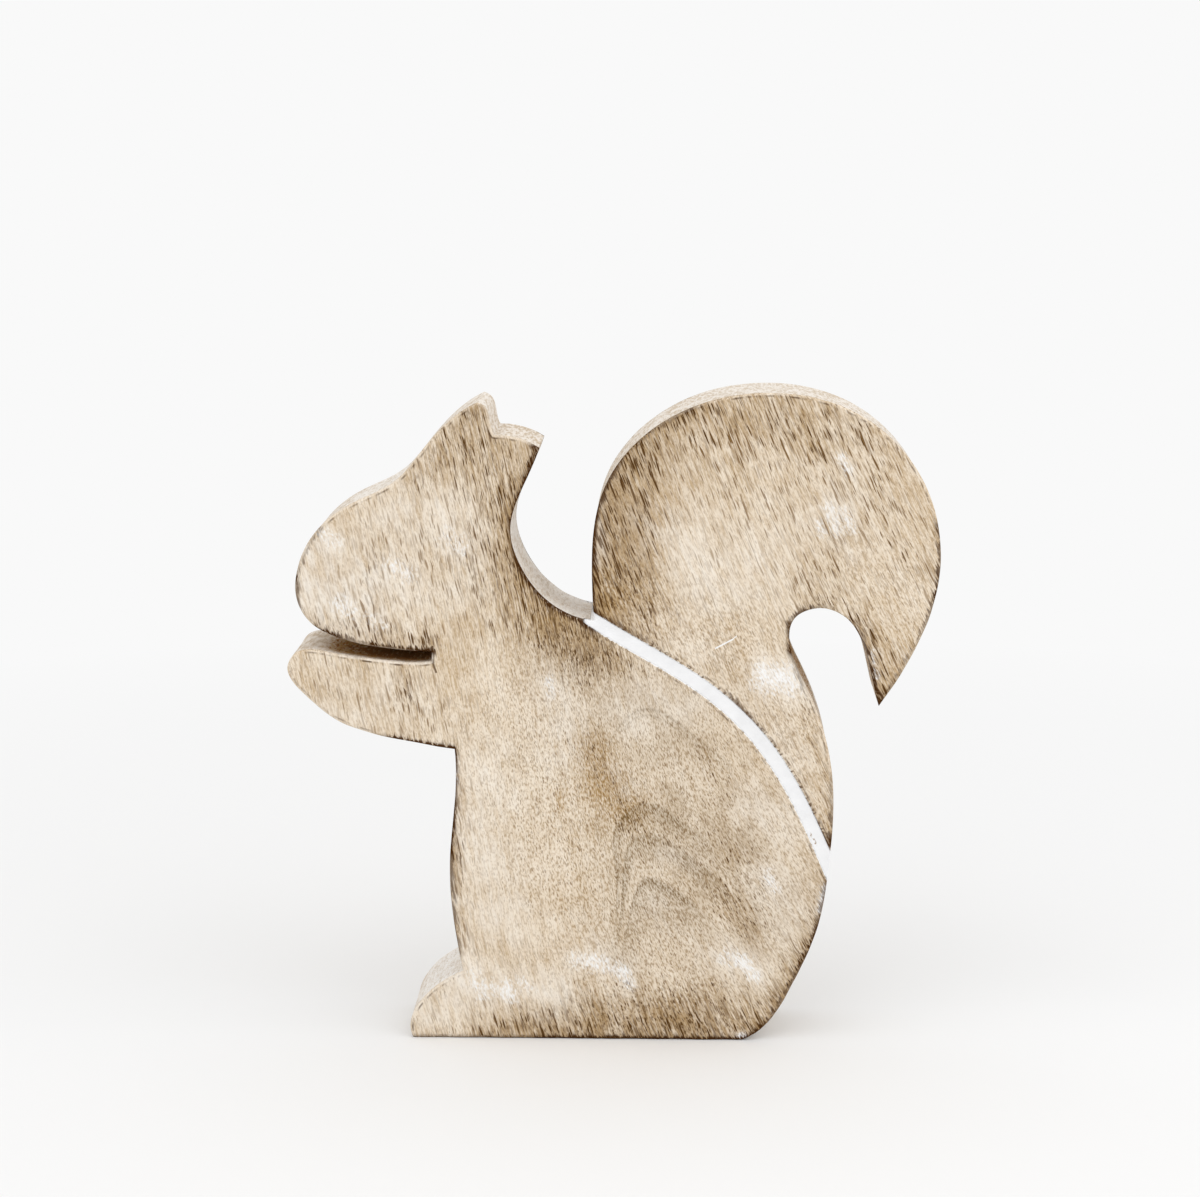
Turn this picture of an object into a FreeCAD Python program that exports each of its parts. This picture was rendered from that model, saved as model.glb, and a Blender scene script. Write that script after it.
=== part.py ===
import FreeCAD, Part
import os

# A squirrel sawn out of a thick wooden board, sitting up and facing left, in millimetres.
# +X runs from the nose to the tail, the front face looks to -Y and +Z is up.
# The origin is the middle of the figure's box, on the flat that it stands on.
# Body and tail are two pieces, pinned by two dowels along a joint that is filled with white.

# The whole figure
figure_height = 150.0
figure_width = 147.5
board_thickness = 25.0
arris_size = 0.7  # how far the sanding along both faces reaches in from the edge

# The saw cut between the chin and the forepaws
slot_length = 32.9  # from the tips of the paws to the blind end
slot_end_height = 2.3
slot_mouth_height = 3.3

# The white joint between body and tail
joint_gap = 0.8  # white filler between the two sawn faces
groove_width = 3.2  # the wide white line on each face of the board
groove_depth = 2.0
groove_run_out = 2.0  # how far the groove runs on past the crotch
filler_recess = 0.2  # how far the white lies below the face of the board

# The two hidden dowels that cross the joint
dowel_diameter = 6.0
dowel_length = 25.0
dowel_chamfer = 0.8
dowel_clearance = 0.05  # all round, between a dowel and its hole
dowel_end_room = 1.0  # spare depth past each end, for glue
flute_count = 12
flute_depth = 0.3
flute_radius = 0.6
full_turn = 360  # degrees
dowel_place_shares = {"upper_dowel": 0.18, "lower_dowel": 0.45}  # of the way down the joint

overrun = 12.0  # how far every cutting tool runs past what it cuts

# Outline points, as shares of figure_width from the tips of the paws to the back of the tail,
# and of figure_height from the base up. The list goes once round, clockwise on the front face.
crotch_share = (0.4725, 0.6560)  # where the back of the neck meets the tail
joint_exit_share = (0.8370, 0.2780)  # where the joint leaves the back of the haunch
head_shares = [(0.083, 0.627), (0.040, 0.648), (0.017, 0.684), (0.0165, 0.724), (0.042, 0.783),
               (0.100, 0.831), (0.170, 0.867), (0.210, 0.911), (0.264, 0.966), (0.2955, 0.985)]
front_ear_shares = [(0.2955, 0.985), (0.309, 0.976), (0.3145, 0.958), (0.321, 0.936)]
rear_ear_shares = [(0.321, 0.936), (0.352, 0.933), (0.390, 0.917)]
neck_shares = [(0.390, 0.917), (0.3635, 0.856), (0.345, 0.795), (0.363, 0.733), (0.409, 0.680)]
plume_shares = [(0.4695, 0.725), (0.491, 0.863), (0.578, 0.957), (0.723, 1.000), (0.878, 0.966),
                (0.979, 0.855), (0.9985, 0.722), (0.957, 0.601), (0.910, 0.527)]
crook_shares = [(0.910, 0.527), (0.890, 0.606), (0.853, 0.666), (0.813, 0.676), (0.778, 0.658),
                (0.773, 0.620), (0.798, 0.558), (0.8255, 0.490), (0.842, 0.400)]
haunch_shares = [(0.822, 0.185), (0.779, 0.083), (0.731, 0.015), (0.703, 0.000)]
foot_shares = [(0.188, 0.000), (0.1835, 0.018), (0.201, 0.059), (0.232, 0.087), (0.268, 0.107)]
belly_shares = [(0.268, 0.107), (0.254, 0.183), (0.248, 0.275), (0.257, 0.380), (0.257, 0.456)]
arm_shares = [(0.257, 0.456), (0.150, 0.475), (0.073, 0.502), (0.020, 0.546), (0.000, 0.580),
              (0.012, 0.603), (0.067, 0.605), (0.145, 0.594)]
slot_end_level_share = 0.592  # height of the slot's floor at its blind end
under_chin_share = (0.099, 0.600)  # the slot's floor below where the chin begins to rise
arris_shares = [(1.0, 0.0), (0.3, 0.3), (0.0, 1.0)]  # inset and depth, from the face to the edge
joint_shares = [crotch_share, (0.558, 0.606), (0.653, 0.546), (0.734, 0.467), (0.793, 0.373),
                joint_exit_share]


# An outline point on the middle plane of the board, from its two shares
def outline_point(share):
    across, up = share
    return FreeCAD.Vector(across * figure_width, 0, up * figure_height)


def outline_points(shares):
    return [outline_point(share) for share in shares]


# A smooth curve through points, or a straight line between two
def edge_through(points):
    if len(points) == 2:
        return Part.LineSegment(*points)
    curve = Part.BSplineCurve()
    curve.interpolate(points)
    return curve


# The stretches of the outline of the whole figure, body and tail together, as lists of points
def figure_stretches():
    slot_floor_end = FreeCAD.Vector(slot_length, 0, slot_end_level_share * figure_height)
    slot_roof_end = slot_floor_end + FreeCAD.Vector(0, 0, slot_end_height)
    chin = outline_point(under_chin_share) + FreeCAD.Vector(0, 0, slot_mouth_height)
    crotch = outline_point(crotch_share)
    joint_exit = outline_point(joint_exit_share)
    return [
        [slot_roof_end, chin] + outline_points(head_shares),
        outline_points(front_ear_shares),
        outline_points(rear_ear_shares),
        outline_points(neck_shares) + [crotch],
        [crotch] + outline_points(plume_shares),
        outline_points(crook_shares) + [joint_exit] + outline_points(haunch_shares),
        [outline_point(haunch_shares[-1]), outline_point(foot_shares[0])],
        outline_points(foot_shares),
        outline_points(belly_shares),
        outline_points(arm_shares) + [slot_floor_end],
        [slot_floor_end, slot_roof_end],
    ]


# The directions into the wood, square to the outline, at each point of a stretch
def inward_directions(points):
    curve = edge_through(points)
    tangents = [curve.tangent(curve.parameter(point))[0] for point in points]
    return [FreeCAD.Vector(tangent.z, 0, -tangent.x) for tangent in tangents]


# The step from a corner to the same corner of an outline that lies one unit further in
def mitre(one_way, other_way):
    return (one_way + other_way) / (1 + one_way.dot(other_way))


# The closed outline of the figure, moved in from its edge and placed at a depth
def figure_outline(inset, depth):
    stretches = figure_stretches()
    inward = [inward_directions(points) for points in stretches]
    edges = []
    for turn, points in enumerate(stretches):
        following = (turn + 1) % len(stretches)
        steps = list(inward[turn])
        steps[0] = mitre(inward[turn - 1][-1], steps[0])
        steps[-1] = mitre(steps[-1], inward[following][0])
        moved = [point + step * inset for point, step in zip(points, steps)]
        edges.append(edge_through(moved).toShape())
    return Part.Wire(edges).translated(FreeCAD.Vector(0, depth, 0))


# Spreads a flat outline to a plate that fills the board from one depth to another
def plate(outline, front, back):
    outline = outline.translated(FreeCAD.Vector(0, front, 0))
    return Part.Face(outline).extrude(FreeCAD.Vector(0, back - front, 0))


# The sawn board before it is parted, lofted from face to face through its sanded arrises
def sawn_board():
    face = board_thickness / 2
    sections = []
    for inset_share, depth_share in arris_shares:
        sections.append(figure_outline(inset_share * arris_size, depth_share * arris_size - face))
    for inset_share, depth_share in reversed(arris_shares):
        sections.append(figure_outline(inset_share * arris_size, face - depth_share * arris_size))
    return Part.makeLoft(sections, True, True)


# The middle line of the joint, from the crotch to the back of the haunch
def joint_line():
    return edge_through(outline_points(joint_shares))


# A band along the joint, as a closed outline that runs past both its ends
def joint_band(width):
    line = joint_line()
    stations = []
    for point in outline_points(joint_shares):
        tangent = line.tangent(line.parameter(point))[0]
        stations.append((point, tangent))
    first_point, first_tangent = stations[0]
    last_point, last_tangent = stations[-1]
    stations.insert(0, (first_point - first_tangent * groove_run_out, first_tangent))
    stations.append((last_point + last_tangent * overrun, last_tangent))

    upper = []
    lower = []
    for point, tangent in stations:
        sideways = FreeCAD.Vector(tangent.z, 0, -tangent.x) * (width / 2)
        lower.append(point + sideways)
        upper.append(point - sideways)
    sides = [lower, [lower[-1], upper[-1]], upper[::-1], [upper[0], lower[0]]]
    return Part.Wire([edge_through(points).toShape() for points in sides])


# What the white fills, as far as a given depth from the middle of the board:
# a thin web right through the board and a wide groove in each face
def joint_plates(reach):
    groove_floor = board_thickness / 2 - groove_depth
    web = plate(joint_band(joint_gap), -reach, reach)
    front_groove = plate(joint_band(groove_width), -reach, -groove_floor)
    back_groove = plate(joint_band(groove_width), groove_floor, reach)
    return web.fuse([front_groove, back_groove])


# Where each dowel crosses the joint, and the one direction that lets the tail slide onto both
def dowel_centre(name):
    line = joint_line()
    return line.value(line.parameterAtDistance(dowel_place_shares[name] * line.length()))


def dowel_direction():
    chord = outline_point(joint_exit_share) - outline_point(crotch_share)
    return FreeCAD.Vector(-chord.z, 0, chord.x).normalize()


# A round bar along the dowels' direction, centred on the joint
def cross_bar(name, radius, length):
    start = dowel_centre(name) - dowel_direction() * (length / 2)
    return Part.makeCylinder(radius, length, start, dowel_direction())


def dowel_hole(name):
    return cross_bar(name, dowel_diameter / 2 + dowel_clearance, dowel_length + 2 * dowel_end_room)


# A fluted dowel with chamfered ends
def dowel(name):
    pin = cross_bar(name, dowel_diameter / 2, dowel_length)
    rims = [edge for edge in pin.Edges if edge.Closed]
    pin = pin.makeChamfer(dowel_chamfer, rims)
    flute = cross_bar(name, flute_radius, dowel_length + 2 * overrun)
    flute.translate(FreeCAD.Vector(0, dowel_diameter / 2 + flute_radius - flute_depth, 0))
    flutes = []
    for turn in range(flute_count):
        angle = turn * full_turn / flute_count
        flutes.append(flute.rotated(dowel_centre(name), dowel_direction(), angle))
    return pin.cut(flutes)


# Body and tail are what the joint leaves of the board, the body being the larger
def build_pieces():
    board = sawn_board()
    halves = board.cut(joint_plates(board_thickness / 2 + overrun)).Solids
    tail, body = sorted(halves, key=lambda half: half.Volume)
    white_seam = joint_plates(board_thickness / 2 - filler_recess).common(board)
    holes = [dowel_hole(name) for name in dowel_place_shares]
    pieces = {
        "body": body.cut(holes),
        "tail": tail.cut(holes),
        "white_seam": white_seam.cut(holes),
    }
    for name in dowel_place_shares:
        pieces[name] = dowel(name)

    # Everything moves so that the origin is under the middle of the figure
    for piece in pieces.values():
        piece.translate(FreeCAD.Vector(-figure_width / 2, 0, 0))
    return pieces


os.makedirs("parts", exist_ok=True)
for name, piece in build_pieces().items():
    piece.exportStep("parts/" + name + ".step")
    print(name, "solids", len(piece.Solids), "valid", piece.isValid(), "volume", round(piece.Volume))
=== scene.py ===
import math
import bpy
import numpy as np
from mathutils import Euler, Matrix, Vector
from mathutils.geometry import delaunay_2d_cdt


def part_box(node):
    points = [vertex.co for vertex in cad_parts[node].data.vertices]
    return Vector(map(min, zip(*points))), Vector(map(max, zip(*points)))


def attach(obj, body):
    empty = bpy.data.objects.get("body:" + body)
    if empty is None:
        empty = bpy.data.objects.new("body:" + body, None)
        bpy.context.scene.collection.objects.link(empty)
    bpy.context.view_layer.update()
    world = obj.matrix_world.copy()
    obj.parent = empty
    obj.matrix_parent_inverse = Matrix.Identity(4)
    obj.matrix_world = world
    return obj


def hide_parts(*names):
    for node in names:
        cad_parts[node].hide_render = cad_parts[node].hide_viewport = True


# A squirrel sawn out of washed mango wood, 25 mm thick, with a white line along its back.
# Blender's units are metres. Places on the figure are written in millimetres from its left end
# and from the shelf that it stands on, as a maker would measure them.

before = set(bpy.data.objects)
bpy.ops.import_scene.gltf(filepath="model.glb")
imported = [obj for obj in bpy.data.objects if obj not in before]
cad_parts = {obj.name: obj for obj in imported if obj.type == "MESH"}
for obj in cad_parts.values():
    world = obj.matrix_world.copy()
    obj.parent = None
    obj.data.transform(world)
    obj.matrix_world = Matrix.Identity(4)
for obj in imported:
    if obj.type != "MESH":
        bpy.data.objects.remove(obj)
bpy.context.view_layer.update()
millimetre = 0.001
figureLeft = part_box("body")[0].x / millimetre
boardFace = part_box("body")[1].y / millimetre  # half the board's thickness
print("frame loaded, board", round(2 * boardFace, 2), "mm thick")


# Waviness: a sum of sine waves in random directions and phases, about -1 to 1 and the same for
# the same seed. Reach is their usual wavelength.
def waviness(places, reach, seed, waves=9):
    draw = np.random.default_rng(seed)
    directions = draw.normal(size=(waves, places.shape[1]))
    directions /= np.linalg.norm(directions, axis=1, keepdims=True)
    pace = 2 * np.pi / reach * draw.uniform(0.6, 1.6, waves)
    phase = draw.uniform(0, 2 * np.pi, waves)
    return np.sin(places @ directions.T * pace + phase).sum(axis=1) / math.sqrt(waves / 2) / 2


# Smooth rise from 0 to 1 between two values: t squared times (3 - 2t)
def smoothRise(values, low, high):
    t = np.clip((values - low) / (high - low), 0, 1)
    return t * t * (3 - 2 * t)


# The outline that a plane across the board's thickness cuts out of a CAD node, in millimetres,
# anticlockwise as seen from the front. Each triangle that crosses the plane gives one step, from
# the mesh edge that it comes in by to the one that it leaves by. Doubling puts the steps in
# order: a chain and its followers make a chain that is twice as long.
def slicedOutline(nodeName, depth):
    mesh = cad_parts[nodeName].data
    mesh.calc_loop_triangles()
    corners = np.empty(len(mesh.vertices) * 3)
    mesh.vertices.foreach_get("co", corners)
    points = (corners.reshape(-1, 3) / millimetre).round(3)
    points, same = np.unique(points, axis=0, return_inverse=True)
    triangles = np.empty(len(mesh.loop_triangles) * 3, int)
    mesh.loop_triangles.foreach_get("vertices", triangles)
    triangles = same.ravel()[triangles].reshape(-1, 3)

    behind = points[triangles][:, :, 1] > depth
    following = np.roll(behind, -1, axis=1)
    crossing = behind.any(axis=1) & ~behind.all(axis=1)
    comesIn = np.argmax(behind & ~following, axis=1)[crossing]
    leaves = np.argmax(~behind & following, axis=1)[crossing]
    triangles = triangles[crossing]
    rows = np.arange(len(triangles))
    codes = []
    for side in (comesIn, leaves):
        ends = np.sort(np.stack([triangles[rows, side], triangles[rows, (side + 1) % 3]]), axis=0)
        codes.append(ends[0] * len(points) + ends[1])
    codes, places = np.unique(np.stack(codes), return_inverse=True)
    places = places.reshape(2, -1)
    follower = np.empty(len(codes), int)
    follower[places[0]] = places[1]
    order = np.zeros(1, int)
    while len(order) < len(codes):
        order = np.concatenate([order, follower[order]])
        follower = follower[follower]
    order = order[:len(codes)]

    start = points[codes // len(points)][order]
    end = points[codes % len(points)][order]
    share = ((depth - start[:, 1]) / (end[:, 1] - start[:, 1]))[:, None]
    outline = (start + (end - start) * share)[:, [0, 2]]
    outline[:, 0] -= figureLeft
    ahead = np.roll(outline, -1, axis=0)
    turnsLeft = np.sum(outline[:, 0] * ahead[:, 1] - outline[:, 1] * ahead[:, 0]) > 0
    return outline if turnsLeft else outline[::-1]


# How far each point lies from a chain of straight pieces, and which piece is nearest
def distanceTo(points, chain, closed=True):
    starts = chain if closed else chain[:-1]
    along = (np.roll(chain, -1, axis=0) if closed else chain[1:]) - starts
    size = np.maximum((along ** 2).sum(axis=1), 1e-12)
    distances, nearest = [], []
    for batch in np.array_split(points, len(points) // 1500 + 1):
        offset = batch[:, None, :] - starts[None]
        share = np.clip((offset * along[None]).sum(axis=2) / size, 0, 1)
        gap = np.linalg.norm(offset - share[..., None] * along[None], axis=2)
        nearest.append(gap.argmin(axis=1))
        distances.append(gap.min(axis=1))
    return np.concatenate(distances), np.concatenate(nearest)


def lengthsAlong(points):
    return np.concatenate([[0], np.cumsum(np.linalg.norm(np.diff(points, axis=0), axis=1))])


# A smooth line through points: on each piece the Hermite cubic whose slopes at its two ends are
# the weighted means of the slopes before and after, read at even steps of about the spacing
def smoothLine(points, spacing):
    knots = lengthsAlong(points)
    places = np.linspace(0, knots[-1], max(2, round(knots[-1] / spacing) + 1))
    steps = np.diff(knots)[:, None]
    slopes = np.diff(points, axis=0) / steps
    inner = (slopes[:-1] * steps[1:] + slopes[1:] * steps[:-1]) / (steps[1:] + steps[:-1])
    tangents = np.vstack([slopes[:1], inner, slopes[-1:]])
    piece = np.clip(np.searchsorted(knots, places, side="right") - 1, 0, len(steps) - 1)
    step = steps[piece]
    t = (places - knots[piece])[:, None] / step
    rise = t * t * (3 - 2 * t)
    return (points[piece] * (1 - rise) + points[piece + 1] * rise
            + tangents[piece] * step * t * (1 - t) ** 2 - tangents[piece + 1] * step * t * t * (1 - t))


# The same line read at other lengths, straight between its points
def readAt(points, lengths):
    knots = lengthsAlong(points)
    return np.column_stack([np.interp(lengths, knots, points[:, side]) for side in (0, 1)])


def readEvenly(points, count):
    return readAt(points, np.linspace(0, lengthsAlong(points)[-1], count))


# The directions square to a closed anticlockwise outline, into the wood
def inwardFrom(outline):
    heading = np.roll(outline, -1, axis=0) - np.roll(outline, 1, axis=0)
    heading /= np.linalg.norm(heading, axis=1, keepdims=True)
    return np.column_stack([-heading[:, 1], heading[:, 0]])


# The outline of one board piece, as two closed loops with the same number of points: one at the
# depth where the white joint is thin and one where it is wide, both first along the sawn edge
# and then back along the joint. Also says which of the points lie on the joint.
outlineDetail = {
    "thinDepth": -6.0,
    "wideDepth": -11.79,  # just inside the end of the arris, where every point is a true one
    "spacing": 0.42,
    "seamReach": 0.08,  # points this near to the white lie on the joint
    "leastStep": 0.05,  # points nearer to each other than this are one
    "sharpTurn": 26,  # degrees between two neighbouring steps of the outline
    "straightRun": 8.0,  # a step this long is a straight cut, with a corner at each end
    "squeezeReach": 14.0,  # over how long the wide loop gives way to the thin one
}


def boardLoops(nodeName):
    detail = outlineDetail
    edges, seams = [], []
    for depth in (detail["thinDepth"], detail["wideDepth"]):
        outline = slicedOutline(nodeName, depth)
        seamGap = distanceTo(outline, slicedOutline("white_seam", depth))[0]
        onSeam = seamGap < detail["seamReach"]
        outline = np.roll(outline, -np.flatnonzero(onSeam & ~np.roll(onSeam, 1))[0], axis=0)
        seams.append(outline[:onSeam.sum()])
        edge = np.vstack([outline[onSeam.sum() - 1:], outline[:1]])
        apart = np.linalg.norm(np.diff(edge, axis=0), axis=1) > detail["leastStep"]
        edges.append(edge[np.append(True, apart)])

    # The sawn edge, smooth between its corners, from the wide slice and the ends of the thin one
    edge = np.vstack([edges[0][:1], edges[1], edges[0][-1:]])
    heading = np.arctan2(*np.diff(edge, axis=0).T[::-1])
    turn = np.degrees((np.diff(heading) + np.pi) % (2 * np.pi) - np.pi)
    longRun = np.linalg.norm(np.diff(edge, axis=0), axis=1) > detail["straightRun"]
    sharp = (abs(turn) > detail["sharpTurn"]) | longRun[1:] | longRun[:-1]
    corners = [0, *(np.flatnonzero(sharp) + 1), len(edge) - 1]
    stretches = []
    for first, last in zip(corners, corners[1:]):
        stretches.append(smoothLine(edge[first:last + 1], detail["spacing"]))
    thin = np.vstack([stretch[:-1] for stretch in stretches] + [edge[-1:]])
    lengths = lengthsAlong(thin)

    # The wide loop leaves the edge a little earlier at each end of the joint
    cuts = [lengths[np.linalg.norm(thin - edges[1][end], axis=1).argmin()] for end in (0, -1)]
    reach = detail["squeezeReach"]
    shift = (cuts[0] * np.clip(1 - lengths / reach, 0, 1) ** 2
             + (cuts[1] - lengths[-1]) * np.clip(1 - (lengths[-1] - lengths) / reach, 0, 1) ** 2)
    wide = readAt(thin, lengths + shift)
    wide[0], wide[-1] = edges[1][0], edges[1][-1]

    # Back along the joint, without the two corners, which are there already
    count = round(lengthsAlong(seams[0])[-1] / detail["spacing"])
    back = [readEvenly(seam, count + 1)[1:-1] for seam in seams]
    onJoint = np.append(np.zeros(len(thin), bool), np.ones(count - 1, bool))
    return np.vstack([thin, back[0]]), np.vstack([wide, back[1]]), onJoint


# Puts points and faces into a mesh object that rides on the root body. Points are millimetres
# from the figure's left end, faces a list of arrays, one for each number of corners.
def makePiece(name, points, faceGroups, attributes):
    points = (points + [figureLeft, 0, 0]) * millimetre
    mesh = bpy.data.meshes.new(name)
    mesh.from_pydata(points.tolist(), [], sum([group.tolist() for group in faceGroups], []))
    mesh.shade_smooth()
    mesh.validate()
    for attributeName, values in attributes.items():
        kind, field = ("FLOAT_VECTOR", "vector") if values.ndim == 2 else ("FLOAT", "value")
        attribute = mesh.attributes.new(attributeName, kind, "POINT")
        attribute.data.foreach_set(field, values.ravel())
    piece = bpy.data.objects.new(name, mesh)
    bpy.context.scene.collection.objects.link(piece)
    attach(piece, "root")
    return piece


# The front or back of a board: a height over the board's plane that falls off towards the sawn
# edge by r(1 - sqrt(1 - (1 - d/r) squared)), d being the way to the edge and r the sanded
# rounding there, which grows and shrinks along the edge, plus a slow waviness of the plane.
# A triangle net joins the outline, five rows of points beside it and an even field of points.
faceDetail = {
    "rowInsets": (0.1, 0.24, 0.44, 0.72, 1.1),
    "sparseInset": 0.5,  # rows further in than this have every other point
    "rowClearance": 0.93,  # a row's point stays if this share of its inset is clear of the edge
    "fieldStep": 0.85,
    "fieldRise": 0.866,  # from row to row of the field, as a share of the step
    "fieldInset": 1.6,
    "netTolerance": 1e-6,
    "planeWave": 0.05,
    "planeWaveReach": 22.0,
    "planeWaveFade": 4.0,  # how far in from the edge the waviness is whole
    "rounding": 0.62,
    "roundingChange": 0.3,
    "roundingReach": 9.0,
    "jointRounding": 0.16,
}


def boardFaceNet(outline):
    detail = faceDetail
    ahead, inward = np.roll(outline, -1, axis=0), inwardFrom(outline)
    beside = []
    for inset in detail["rowInsets"]:
        row = outline + inward * inset
        row = row[::1 if inset < detail["sparseInset"] else 2]
        beside.append(row[distanceTo(row, outline)[0] > detail["rowClearance"] * inset])
    low, high = outline.min(axis=0), outline.max(axis=0)
    step = detail["fieldStep"]
    columns = np.arange(low[0], high[0], step)
    across, up = np.meshgrid(columns, np.arange(low[1], high[1], step * detail["fieldRise"]))
    across[1::2] += step / 2  # every other row is moved by half a step

    # A point is inside if the outline passes to its right an odd number of times
    field = np.column_stack([across.ravel(), up.ravel()])
    level = field[:, 1][:, None]
    rises = (outline[:, 1] > level) != (ahead[:, 1] > level)
    lift = np.where(ahead[:, 1] == outline[:, 1], 1, ahead[:, 1] - outline[:, 1])
    crossing = outline[:, 0] + (level - outline[:, 1]) / lift * (ahead - outline)[:, 0]
    field = field[(rises & (crossing > field[:, 0][:, None])).sum(axis=1) % 2 == 1]
    field = field[distanceTo(field, outline)[0] > detail["fieldInset"]]

    places = [Vector(place) for place in np.vstack([outline, *beside, field]).tolist()]
    ring = np.arange(len(outline))
    borders = np.column_stack([ring, np.roll(ring, -1)]).tolist()
    net = delaunay_2d_cdt(places, borders, [ring.tolist()], 1, detail["netTolerance"])
    return np.array([tuple(place) for place in net[0]]), np.array(net[2])


# The way down the fibres to the height of the shelf, in even steps: each fibre leans from top
# left to bottom right by an angle that is the mean of the leans chosen below, near ones most
fibreDetail = {
    "steps": 24,
    "leanReach": 16.0,
    "leastWeight": 1e-6,
}


def fibreFoot(across, height, leans):
    detail = fibreDetail
    spots = np.array([lean[:2] for lean in leans], float)
    angles = np.radians([lean[2] for lean in leans])
    across, height = across.copy(), height.copy()
    step = height / detail["steps"]
    for _ in range(detail["steps"]):
        gap = (across[:, None] - spots[:, 0]) ** 2 + (height[:, None] - spots[:, 1]) ** 2
        weight = np.exp(-gap / (2 * detail["leanReach"] ** 2)) + detail["leastWeight"]
        across += step * np.tan((weight * angles).sum(axis=1) / weight.sum(axis=1))
        height -= step
    return across


# How strongly a list of soft brush strokes covers each place. A stroke is a start and an end, each
# across and up, a reach and a strength, and fades as exp(-(gap / reach) squared). Strokes over
# each other build up towards 1.
def brushed(places, strokes):
    bare = np.ones(len(places))
    for *ends, reach, strength in strokes:
        gap = distanceTo(places, np.array(ends, float).reshape(2, 2), closed=False)[0]
        bare *= 1 - strength * np.exp(-(gap / reach) ** 2)
    return 1 - bare


# Growth rings run as arches one inside the other. The height of an arch's top is z plus its fall:
# on the right slope (sqrt(a a + w w) - w), a being the way to the middle, so its flank runs out
# straight, and on the left steepness times a squared, steeper towards the shelf.
archDetail = {
    "crown": 4.0,  # w, half the width of an arch's round top
    "steepness": 0.5,
    "flatter": 0.8,  # share of the steepness that is lost between two heights
    "flatterFrom": 28,
    "flatterTo": 52,
    "backRise": 7.0,  # how much further down the same ring lies on the back
}


def archTop(places, arch):
    detail = archDetail
    aside = places[:, 0] - arch["middle"]
    crown = detail["crown"]
    lost = detail["flatter"] * smoothRise(places[:, 1], detail["flatterFrom"], detail["flatterTo"])
    steepness = detail["steepness"] * (1 - lost)
    rightFall = arch["rightSlope"] * (np.sqrt(aside ** 2 + crown ** 2) - crown)
    return places[:, 1] + np.where(aside < 0, steepness * aside ** 2, rightFall)


# A sawn board piece: a face net in front, the same net behind, and rows of points through the
# thickness between them, with shallow ripples of the saw along the sawn edge
wallDetail = {
    "grooveFloor": 10.5,  # from the middle of the board to the floor of the wide groove
    "grooveStep": 0.1,
    "rowStep": 1.5,
    "middleInset": 1.0,  # how far the row next to the groove's floor keeps away from it
    "outerRow": 0.4,  # where the outermost row lies, between the arris and the groove's floor
    "sawRipple": 0.05,
    "sawRippleReach": 2.4,
    "sawStretch": 0.12,  # the lower, the further a ripple runs on through the board
    "handWave": 0.08,
    "handWaveReach": 15.0,
    "handStretch": 0.5,
    "rippleFade": (0.9, 2.2),  # ripples begin and are whole this far below a face
    "footFade": (0.5, 2.0),  # and this far above the shelf, so that its flat stays flat
    "farFromJoint": 9.0,
}

# What the strokes are brushed in. They fade over the back, and chalk lies in a halo of haze.
brushedFinishes = ("smokeAndShade", "honey", "grey", "hazeAndLight", "chalk", "shortPores", "open", "rings", "paleAndHighlight",
                   "scorchAndShade", "deepShadeAndStain")
strokeDetail = {
    "backShare": 0.6,
    "backChange": 0.6,
    "backReach": 24,
    "leastBack": 0.1,
    "haloReach": 2.4,
    "haloStrength": 0.7,
}


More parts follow.
